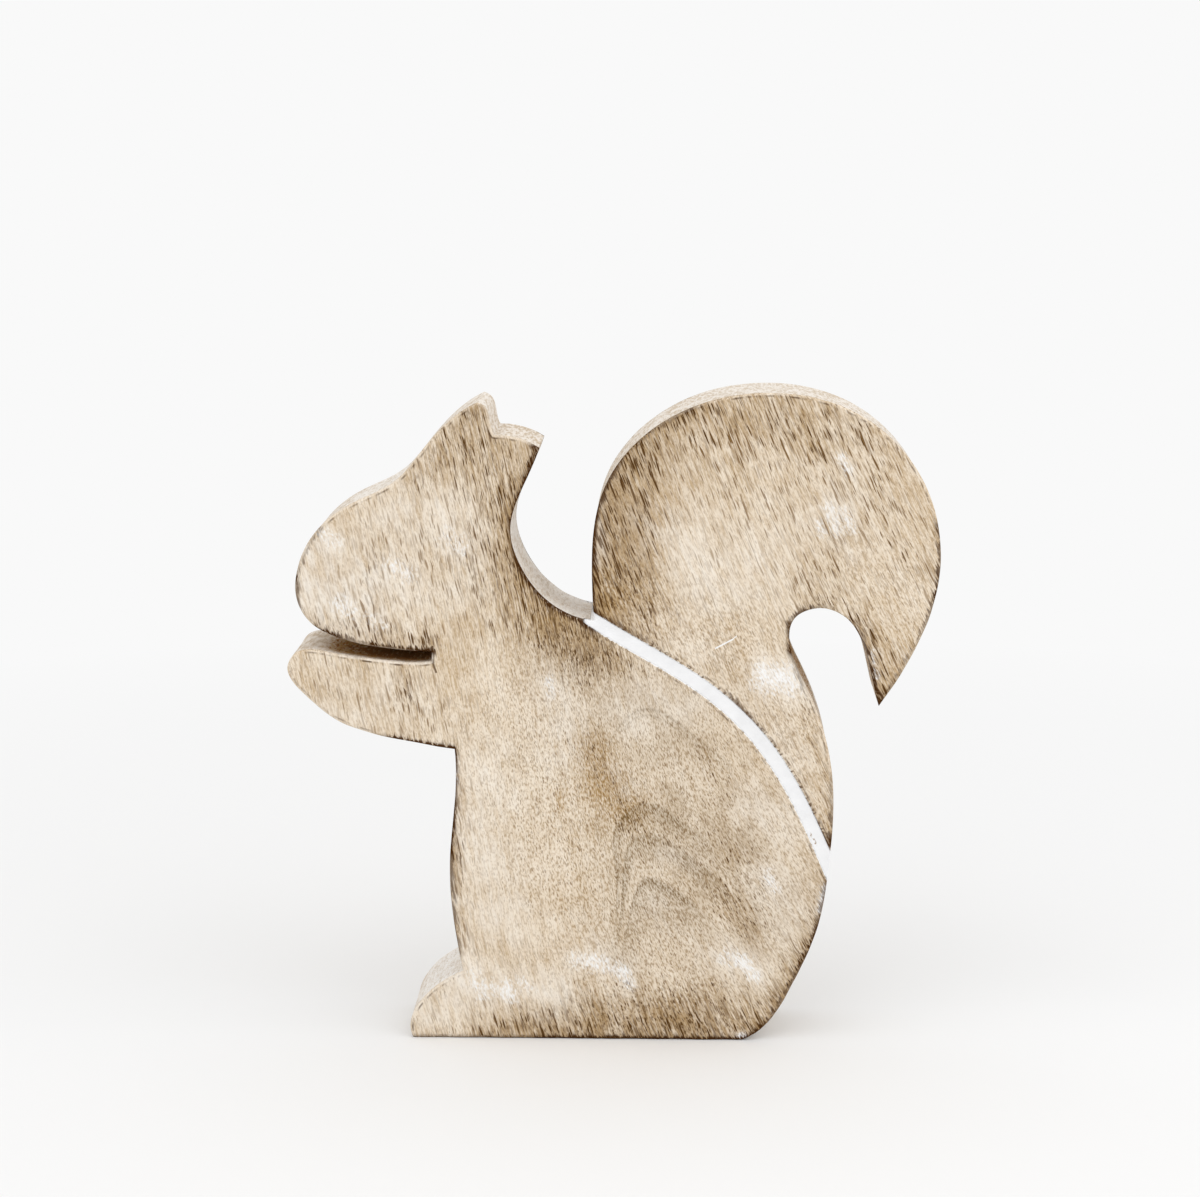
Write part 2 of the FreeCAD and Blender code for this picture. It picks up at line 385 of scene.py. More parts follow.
def buildBoard(nodeName, look):
    thin, wide, onJoint = boardLoops(nodeName)
    count, seed = len(thin), look["seed"]
    places, triangles = boardFaceNet(wide)
    gap, nearest = distanceTo(places, wide)

    # The two faces
    detail = faceDetail
    faces, roundings = [], []
    for side, sideSeed in ((-1, seed), (1, seed + 50)):
        change = detail["roundingChange"] * waviness(wide, detail["roundingReach"], sideSeed)
        rounding = np.where(onJoint, detail["jointRounding"], detail["rounding"] + change)
        radius = rounding[nearest]
        radius[:count] = rounding
        height = radius * (1 - np.sqrt(1 - (1 - np.clip(gap / radius, 0, 1)) ** 2))
        height[:count] = rounding
        wave = 1 + waviness(places, detail["planeWaveReach"], sideSeed + 1)
        fadeIn = smoothRise(gap, 0, detail["planeWaveFade"])
        height += detail["planeWave"] * np.clip(wave, 0, 2) / 2 * fadeIn
        faces.append(np.column_stack([places[:, 0], side * (boardFace - height), places[:, 1]]))
        roundings.append(rounding)

    # The rows between them
    detail = wallDetail
    floorDepth, step = detail["grooveFloor"], detail["grooveStep"] * ~onJoint
    outerRows = [boardFace - rounding - (boardFace - floorDepth - rounding) * detail["outerRow"]
                 for rounding in roundings]
    middle = floorDepth - detail["middleInset"]
    middleDepths = np.linspace(-1, 1, round(2 * middle / detail["rowStep"]) + 1) * middle
    rows = [(wide, -outerRows[0]), (wide, -floorDepth - step), (thin, -floorDepth + step)]
    rows += [(thin, np.full(count, depth)) for depth in middleDepths]
    rows += [(thin, floorDepth - step), (wide, floorDepth + step), (wide, outerRows[1])]
    around = lengthsAlong(np.vstack([thin, thin[:1]]))[:-1]
    wall = []
    for outline, depth in rows:
        sawPlaces = np.column_stack([around, depth * detail["sawStretch"]])
        handPlaces = np.column_stack([around, depth * detail["handStretch"]])
        ripple = waviness(sawPlaces, detail["sawRippleReach"], seed + 2)
        wave = waviness(handPlaces, detail["handWaveReach"], seed + 3)
        inset = detail["sawRipple"] * (1 + ripple) / 2 + detail["handWave"] * (1 + wave) / 2
        fade = smoothRise(boardFace - abs(depth), *detail["rippleFade"])
        inset = np.clip(inset, 0, 1) * fade * ~onJoint
        inset *= smoothRise(outline[:, 1], *detail["footFade"])
        outline = outline + inwardFrom(outline) * inset[:, None]
        wall.append(np.column_stack([outline[:, 0], depth, outline[:, 1]]))
    points = np.vstack([*faces, *wall])

    # Faces: the nets, and bands of four-cornered faces from row to row
    netCount = len(places)
    ring = np.arange(count)
    rowStarts = [0] + [2 * netCount + count * row for row in range(len(rows))] + [netCount]
    nextRing = np.roll(ring, -1)
    bands = []
    for here, after in zip(rowStarts, rowStarts[1:]):
        bands.append(np.column_stack([here + ring, after + ring, after + nextRing, here + nextRing]))
    faceGroups = [triangles, triangles[:, ::-1] + netCount, np.vstack(bands)]

    # What the finish needs to know of each point
    flat = points[:, [0, 2]]
    onWall = np.arange(len(points)) >= 2 * netCount
    onBack = (points[:, 1] > 0) & ~onWall
    belowFace = []
    for number, row in enumerate(wall):
        rounding = roundings[int(number >= len(rows) / 2)]
        belowFace.append(boardFace - rounding - abs(row[:, 1]))
    edgeCount = count - onJoint.sum()
    joint = np.vstack([wide[edgeCount - 1:], wide[:1]])
    jointGap = distanceTo(places, joint, closed=False)[0]
    farAway = np.full(len(points) - 2 * netCount, detail["farFromJoint"])
    fibre = fibreFoot(flat[:, 0], flat[:, 1], look["leans"])
    backRise = archDetail["backRise"] * (points[:, 1] / boardFace + 1) / 2
    attributes = {
        "fibre": np.column_stack([fibre, points[:, 1], flat[:, 1]]),
        "rim": np.concatenate([gap, gap, -np.concatenate(belowFace)]),
        "run": np.concatenate([around[nearest], around[nearest], np.tile(around, len(rows))]),
        "jointGap": np.concatenate([jointGap, jointGap, farAway]),
        "arch": archTop(flat, look["arch"]) + backRise,
    }
    detail = strokeDetail
    change = detail["backChange"] * waviness(flat, detail["backReach"], seed + 4)
    fading = np.where(onBack, np.clip(detail["backShare"] + change, detail["leastBack"], 1), 1)
    halo = [(*ends, reach * detail["haloReach"], strength * detail["haloStrength"])
            for *ends, reach, strength in look["chalk"]]
    for finish in brushedFinishes:
        strokes = look.get(finish, [])
        amount = brushed(flat, strokes + halo if finish == "hazeAndLight" else strokes) * fading
        if finish == "chalk":
            amount = np.where(onBack, brushed(flat, look["chalkBehind"]), amount)
        onEdge = look["onEdges"].get(finish, strokes if finish == "paleAndHighlight" else [])
        attributes[finish] = np.where(onWall, brushed(flat, onEdge), amount)
    return makePiece(look["name"], points, faceGroups, attributes)


# Colours are written as they look on a screen, 0 to 255
def paint(red, green, blue):
    levels = np.array([red, green, blue]) / 255
    linear = np.where(levels < 0.04045, levels / 12.92, ((levels + 0.055) / 1.055) ** 2.4)
    return (*linear.tolist(), 1)


# Short ways to add a node and join it up. Inputs are plain values or other nodes' sockets, and
# the node goes into the tree that these sockets are in, or else into the tree that is given.
def addNode(kind, inputs=None, tree=None, **settings):
    inputs = inputs or {}
    sockets = [value for value in inputs.values() if isinstance(value, bpy.types.NodeSocket)]
    if tree is None:
        tree = sockets[0].id_data
    node = tree.nodes.new("ShaderNode" + kind)
    for name, value in settings.items():
        setattr(node, name, value)
    for socket, value in inputs.items():
        if isinstance(value, bpy.types.NodeSocket):
            tree.links.new(value, node.inputs[socket])
        else:
            node.inputs[socket].default_value = value
    return node


def calc(operation, *values, clamp=False):
    inputs = dict(enumerate(values))
    return addNode("Math", inputs, operation=operation, use_clamp=clamp).outputs[0]


def scaled(value, factor):
    return calc("MULTIPLY", value, factor)


# The value times the factor, plus the rest
def added(value, factor, rest):
    return calc("MULTIPLY_ADD", value, factor, rest)


def vectorCalc(operation, first, second, output=0):
    return addNode("VectorMath", {0: first, 1: second}, operation=operation).outputs[output]


def mixed(share, first, second):
    return addNode("Mix", {0: share, 2: first, 3: second}).outputs[0]


def blended(share, first, second):
    return addNode("Mix", {0: share, 6: first, 7: second}, data_type="RGBA").outputs[2]


def rescaled(value, fromLow, fromHigh, toLow=0, toHigh=1):
    return addNode("MapRange", {0: value, 1: fromLow, 2: fromHigh, 3: toLow, 4: toHigh}).outputs[0]


def stretched(vector, sizes):
    return vectorCalc("MULTIPLY", vector, tuple(1 / size for size in sizes))


# Turned about the axis through the board, by an angle in degrees
def turned(vector, angle):
    inputs = {"Vector": vector, "Rotation": (0, math.radians(angle), 0)}
    return addNode("Mapping", inputs).outputs[0]


def noise(vector, sizes, detail=2, output="Fac"):
    inputs = {"Vector": stretched(vector, sizes), "Scale": 1, "Detail": detail}
    return addNode("TexNoise", inputs).outputs[output]


def ramped(value, stops):
    node = addNode("ValToRGB", {0: value})
    for place, colour in stops[1:-1]:
        node.color_ramp.elements.new(place)
    for element, (place, colour) in zip(node.color_ramp.elements, stops):
        element.position = place
        element.color = colour
    return node.outputs[0]


# Pores: stretched cells with one blob in each, of a random size and darkness
def pores(vector, cell, smallest, largest, growth):
    inputs = {"Vector": stretched(vector, cell), "Scale": 1}
    cells = addNode("TexVoronoi", inputs, voronoi_dimensions="3D", feature="F1")
    chance = addNode("SeparateColor", {0: cells.outputs["Color"]}).outputs
    radius = scaled(rescaled(chance[0], 0, 1, smallest, largest), growth)
    radius = calc("MAXIMUM", radius, 0.001)
    blob = rescaled(cells.outputs["Distance"], radius, scaled(radius, 0.6))
    return scaled(blob, rescaled(chance[1], 0, 1, 0.35, 1))


# 1 within half a width of the straight line between two places on the board's front, each across
# and up, and fading to 0 at a whole width
def scored(place, ends, width):
    start, end = [Vector((across + figureLeft, -boardFace, up)) * millimetre
                  for across, up in (ends[:2], ends[2:])]
    run = end - start
    offset = vectorCalc("SUBTRACT", place, start)
    share = vectorCalc("DOT_PRODUCT", offset, run / run.length_squared, "Value")
    share = calc("MULTIPLY", share, 1, clamp=True)
    onLine = addNode("VectorMath", {0: tuple(run), "Scale": share}, operation="SCALE").outputs[0]
    gap = vectorCalc("DISTANCE", offset, onLine, "Value")
    return rescaled(gap, width * millimetre, width * millimetre / 2)


# A material with an empty tree, and the socket that gives the place on the object
def newMaterial(name):
    material = bpy.data.materials.new(name)
    material.use_nodes = True
    material.node_tree.nodes.clear()
    return material, addNode("TexCoord", tree=material.node_tree).outputs["Object"]


# Ends a material with a shader over a bump, whose depth is in metres
def shaded(material, relief, strength, depth, inputs):
    bump = addNode("Bump", {"Height": relief, "Strength": strength, "Distance": depth}).outputs[0]
    shader = addNode("BsdfPrincipled", {**inputs, "Normal": bump})
    addNode("OutputMaterial", {0: shader.outputs[0]})
    return material


# Washed mango wood. The fibre attribute is a place in the wood: across the fibres, through the
# board and along them, so that pores and streaks follow the grain round every edge.
woodFinish = {
    "tan": paint(188, 163, 129),
    "middle": paint(220, 203, 180),
    "cream": paint(236, 224, 207),
    "greyWood": paint(182, 164, 141),
    "honey": paint(167, 131, 73),
    "stainAndShade": paint(158, 128, 86),
    "pore": paint(126, 98, 64),
    "poreInStain": paint(84, 57, 27),
    # Whitewash on the faces; on the sawn edges the haze strokes are painted light
    "hazeAndLight": paint(238, 231, 221),
    # Painted light on the sawn edges that face up or lie in shade
    "wallHazeAndLight": paint(228, 222, 214),
    "chalk": paint(243, 243, 243),
    # Dark brown of saw scorch, also laid as painted shade along shaded edges, in the slot and beside the
    # joint
    "scorchAndShade": paint(72, 46, 22),
    # Painted shade deep in the slot and under the tail's crook, over some dark stain
    "deepShadeAndStain": paint(150, 107, 64),
    "sawnDark": paint(194, 177, 155),
    "sawnLight": paint(228, 220, 210),
    # Pale sanded wood, also laid as a painted highlight along the arris
    "sandedRimAndHighlight": paint(240, 232, 221),
    "ringLine": paint(120, 98, 66),
}

# How dark the growth rings are, by the height of the arch's top in millimetres
ringTones = [
    (0, 0), (12, 0.1), (14, 0.5), (15, 0.05), (22, 0.2), (24, 0), (26.5, 0.4), (27.3, 0.05),
    (29.6, 0.5), (30.4, 0.1), (32.6, 0.55), (34.2, 0.35), (36.8, 1), (37.8, 0), (42.8, 0.15),
    (44.3, 0.6), (46.8, 0.85), (47.9, 1), (48.8, 0.05), (51, 0.35), (53.4, 0.75), (54.4, 1), (55.4, 0),
    (64.6, 0.25), (65.4, 0), (74.8, 0.1), (75.4, 0.7), (75.9, 0.1), (77, 0.85), (77.6, 0), (100, 0),
]


def boardWood(materialName, look):
    material, place = newMaterial(materialName)

    def attribute(name, output="Fac"):
        return addNode("Attribute", tree=material.node_tree, attribute_name=name).outputs[output]

    # Lays a finish over a colour, as strongly as the share says
    def laid(finish, share, colour):
        return blended(share, colour, woodFinish[finish])

    fibre, smokeAndShade, rim = attribute("fibre", "Vector"), attribute("smokeAndShade"), attribute("rim")
    short = attribute("shortPores")
    onWall = rescaled(rim, -0.05, -0.4)

    # Fibres sway a little, so that no pore lies quite straight
    sway = vectorCalc("SUBTRACT", noise(fibre, (2.5, 2.5, 7), 1, "Color"), (0.5, 0.5, 0.5))
    swayed = vectorCalc("ADD", fibre, vectorCalc("MULTIPLY", sway, (1, 1, 0)))

    # Ground colour: broad clouds, bands along the grain, fine fibres, and grit where they are cut
    broad = noise(place, (0.02,) * 3, 3)
    bands = noise(swayed, (2.6, 2.6, 40), 4)
    fine = noise(swayed, (0.3, 0.3, 4))
    grit = noise(swayed, (0.38, 0.38, 0.8), 1.5)
    clouds = noise(place, (0.0075,) * 3, 4)
    tone = added(clouds, 0.4, added(bands, 0.35, scaled(broad, 0.25)))
    texture = mixed(rescaled(short, 0, 1, 0.25, 0.85), fine, grit)
    textureShare = rescaled(short, 0, 0.8, 0.46, 0.56)
    tone = mixed(textureShare, rescaled(tone, 0.38, 0.62), rescaled(texture, 0.42, 0.58))
    ground = [woodFinish[finish] for finish in ("tan", "middle", "cream")]
    colour = ramped(tone, list(zip((0, 0.5, 1), ground)))
    grey = scaled(attribute("grey"), rescaled(grit, 0.34, 0.62, 1, 0.5))
    grey = scaled(grey, rescaled(clouds, 0.38, 0.6, 1.25, 0.45))
    colour = laid("greyWood", grey, colour)
    honey = scaled(attribute("honey"), rescaled(texture, 0.4, 0.62, 1.1, 0.2))
    colour = laid("honey", honey, colour)

    # Growth rings in the haunch
    wander = calc("SUBTRACT", noise(place, (0.009,) * 3, 4), 1)
    height = added(wander, 2.6, attribute("arch"))
    tones = [(top / 100, (dark, dark, dark, 1)) for top, dark in ringTones]
    ring = scaled(ramped(scaled(height, 0.01), tones), attribute("rings"))
    ring = scaled(ring, rescaled(grit, 0.36, 0.6, 1.1, 0.35))
    colour = laid("ringLine", ring, colour)

    # Dark stain left in the corners and rubbed off elsewhere. On the sawn edges the same strokes are
    # painted shade, in the slot, under the arm and under the tail's crook
    patchy = calc("SUBTRACT", noise(swayed, (1.6, 1.6, 8)), 0.5)
    streaky = calc("SUBTRACT", noise(swayed, (0.5, 0.5, 4)), 0.5)
    stainAndShade = rescaled(added(streaky, 2.4, added(patchy, 1.1, smokeAndShade)), 0.15, 1.05)
    stainAndShade = scaled(stainAndShade, rescaled(smokeAndShade, 0, 0.2))
    colour = laid("stainAndShade", scaled(stainAndShade, 0.8), colour)

    # Whitewash: a thin haze that the grain shows through. On the sawn edges the same strokes are painted
    # light, where the edges face up or lie in shade
    rubbed = rescaled(noise(swayed, (1.4, 1.4, 6), 4), 0.26, 0.62)
    hazeAndLight = scaled(attribute("hazeAndLight"), rubbed)
    hazeAndLight = calc("MULTIPLY", hazeAndLight, rescaled(clouds, 0.38, 0.62, 0.65, 1.1), clamp=True)
    colour = laid("hazeAndLight", scaled(hazeAndLight, 0.8), colour)

    # Pores, long where the wood is cut along the grain and short where it is cut across rings
    strength, length = look["poreStrength"], look["poreLength"]
    growth = rescaled(calc("MAXIMUM", smokeAndShade, attribute("open")), 0, 0.9, 1, 1.35)
    strokes = calc("MAXIMUM", pores(swayed, (0.5, 0.5, 3.4 * length), 0.1, 0.48, growth),
                   pores(swayed, (0.66, 0.66, 6.8 * length), -0.03, 0.44, growth))
    specks = pores(swayed, (0.46, 0.46, 1.2), 0.04, 0.52, growth)
    net = rescaled(grit, 0.44, 0.34)
    openness = rescaled(attribute("open"), 0, 0.85, strength * 0.35, strength)
    strokeShare = scaled(openness, rescaled(short, 0, 1, 1, 0.35))
    speckShare = rescaled(short, 0, 1, 0.35, 0.9)
    pore = calc("MAXIMUM", scaled(strokes, strokeShare), scaled(specks, speckShare))
    pore = calc("MAXIMUM", pore, scaled(net, scaled(speckShare, 0.5)))
    pore = calc("MULTIPLY", pore, rescaled(stainAndShade, 0, 0.7, 1, 1.7), clamp=True)
    pore = scaled(pore, rescaled(hazeAndLight, 0, 1, 1, 0.55))
    poreColour = laid("poreInStain", rescaled(stainAndShade, 0, 0.5), woodFinish["pore"])
    face = blended(pore, colour, poreColour)

    # Chalky patches that the grain breaks up, white smeared over the rim of the joint, and a dark line
    # beside the joint that is dirt and painted shadow
    alongEdge = addNode("CombineXYZ", {0: attribute("run"), 1: scaled(rim, 0.25)}).outputs[0]
    saw = noise(alongEdge, (0.8,) * 3, 3)
    crumbs = calc("SUBTRACT", noise(swayed, (0.42, 0.42, 0.9)), 0.5)
    chalk = rescaled(added(crumbs, 2.4, attribute("chalk")), 0.14, 0.95)
    chalk = scaled(chalk, rescaled(attribute("chalk"), 0, 0.15))
    chalk = scaled(chalk, rescaled(pore, 0, 0.8, 0.9, 0.45))
    face = laid("chalk", chalk, face)
    face = laid("chalk", rescaled(added(saw, 0.8, attribute("jointGap")), 0.6, 0.45), face)
    # The dark line beside the joint is dirt and a painted shadow of the joint's edge
    shadowAndDirt = scaled(rescaled(attribute("jointGap"), 0.9, 0.4), rescaled(saw, 0.5, 0.58))
    face = laid("scorchAndShade", scaled(shadowAndDirt, look["jointShadowAndDirt"]), face)
    for *ends, width, finish in look["scratches"]:
        face = laid(finish, scaled(scored(place, ends, width), 0.85), face)

    # The sawn edges are paler and mottled, with marks of the saw across the board
    speckle = noise(place, (0.0006, 0.0035, 0.0006), 3)
    mottle = added(saw, 0.3, scaled(speckle, 0.45))
    mottle = added(noise(place, (0.006,) * 3, 3), 0.25, mottle)
    sawn = laid("sawnLight", rescaled(mottle, 0.44, 0.55), woodFinish["sawnDark"])
    # Where the smoke strokes lie on the sawn edges, a honey tint deepens away from the face: painted warm
    # shade in the slot, under the arm and under the crook
    sawn = laid("honey", scaled(stainAndShade, rescaled(rim, -0.8, -3.5)), sawn)
    sawn = laid("pore", scaled(pore, 0.15), sawn)
    # Pale haze on the sawn edges: painted light on edges that face up, at the slot's mouth and on the
    # nape in the tail's shade
    sawn = laid("wallHazeAndLight", scaled(hazeAndLight, rescaled(mottle, 0.42, 0.56, 0.65, 0.92)), sawn)
    # Deep in the slot and under the tail's crook, the edges darken further in: painted shade over some
    # stain
    deepShadeAndStain = added(calc("SUBTRACT", speckle, 0.5), 4, attribute("deepShadeAndStain"))
    deepShadeAndStain = scaled(rescaled(deepShadeAndStain, 0.25, 0.7), rescaled(rim, -1.2, -4.5))
    sawn = laid("deepShadeAndStain", scaled(deepShadeAndStain, rescaled(attribute("deepShadeAndStain"), 0, 0.12)), sawn)
    sawn = laid("chalk", chalk, sawn)
    colour = blended(onWall, face, sawn)

    # The arris: sanded pale, with a painted highlight along the top edges and the slot, and a broken dark
    # line beside it, or dark all through, from saw scorch and from painted shade on the shaded edges
    broken = noise(alongEdge, (1.3,) * 3, 3)
    # Pale arris: sanding, and a painted highlight where the arris catches the light along the top edges
    # and the slot's lower edge
    paleAndHighlight = scaled(rescaled(rim, -0.8, -0.35), rescaled(rim, 0.6, 0.3))
    paleAndHighlight = scaled(paleAndHighlight, rescaled(broken, 0.35, 0.6, 0.8, 0.35))
    colour = laid("sandedRimAndHighlight", scaled(paleAndHighlight, attribute("paleAndHighlight")), colour)
    thin = scaled(rescaled(rim, 0.35, 0.55), rescaled(rim, 0.95, 0.7))
    thin = scaled(thin, rescaled(noise(alongEdge, (3.2,) * 3, 4), 0.47, 0.6))
    thin = scaled(thin, added(attribute("paleAndHighlight"), 0.4, look["rimLine"]))
    teeth = added(streaky, 5, rim)
    wide = scaled(rescaled(rim, -0.8, -0.5), rescaled(teeth, 1.15, 0.5))
    wide = calc("MULTIPLY", wide, scaled(attribute("scorchAndShade"), 1.5), clamp=True)
    wide = scaled(wide, rescaled(broken, 0.3, 0.45, 0.75, 1))
    colour = laid("scorchAndShade", calc("MAXIMUM", thin, wide), colour)

    # Pores are open, chalk stands up a little, and the saw leaves ridges
    relief = added(chalk, 0.25, added(pore, -0.45, scaled(texture, 0.6)))
    relief = added(scaled(mottle, onWall), 1.2, relief)
    roughness = rescaled(calc("MAXIMUM", pore, chalk), 0, 1, 0.62, 0.85)
    inputs = {"Base Color": colour, "Roughness": roughness, "Specular IOR Level": 0}
    return shaded(material, relief, 0.8, 0.00018, inputs)


